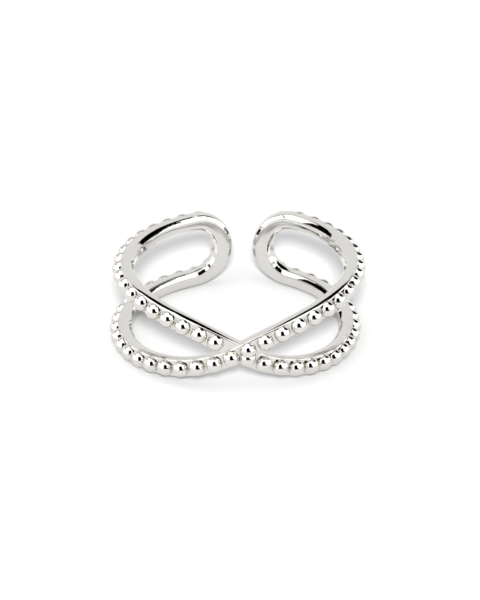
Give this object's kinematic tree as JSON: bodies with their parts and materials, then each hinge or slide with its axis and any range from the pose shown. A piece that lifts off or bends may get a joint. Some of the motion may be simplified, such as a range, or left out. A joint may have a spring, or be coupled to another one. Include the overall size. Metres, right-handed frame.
{
  "type": "open criss-cross ring",
  "caption": "Open criss-cross finger ring of polished silver: a narrow strand set with round grains crosses itself at the front and ends in facing rounded loops at the back.",
  "frame": {"origin": "centre of the finger hole, midway up the ring as it lies on its side", "axes": "+Z along the finger hole's axis, up as the ring lies; -Y towards the front, where the strand crosses itself; +X to the right as seen from the front"},
  "size_m": [0.0208, 0.0207, 0.007],
  "materials": {
    "silver": "mirror-polished silver"
  },
  "bodies": {
    "root": {"ring": "silver"}
  },
  "joints": []
}
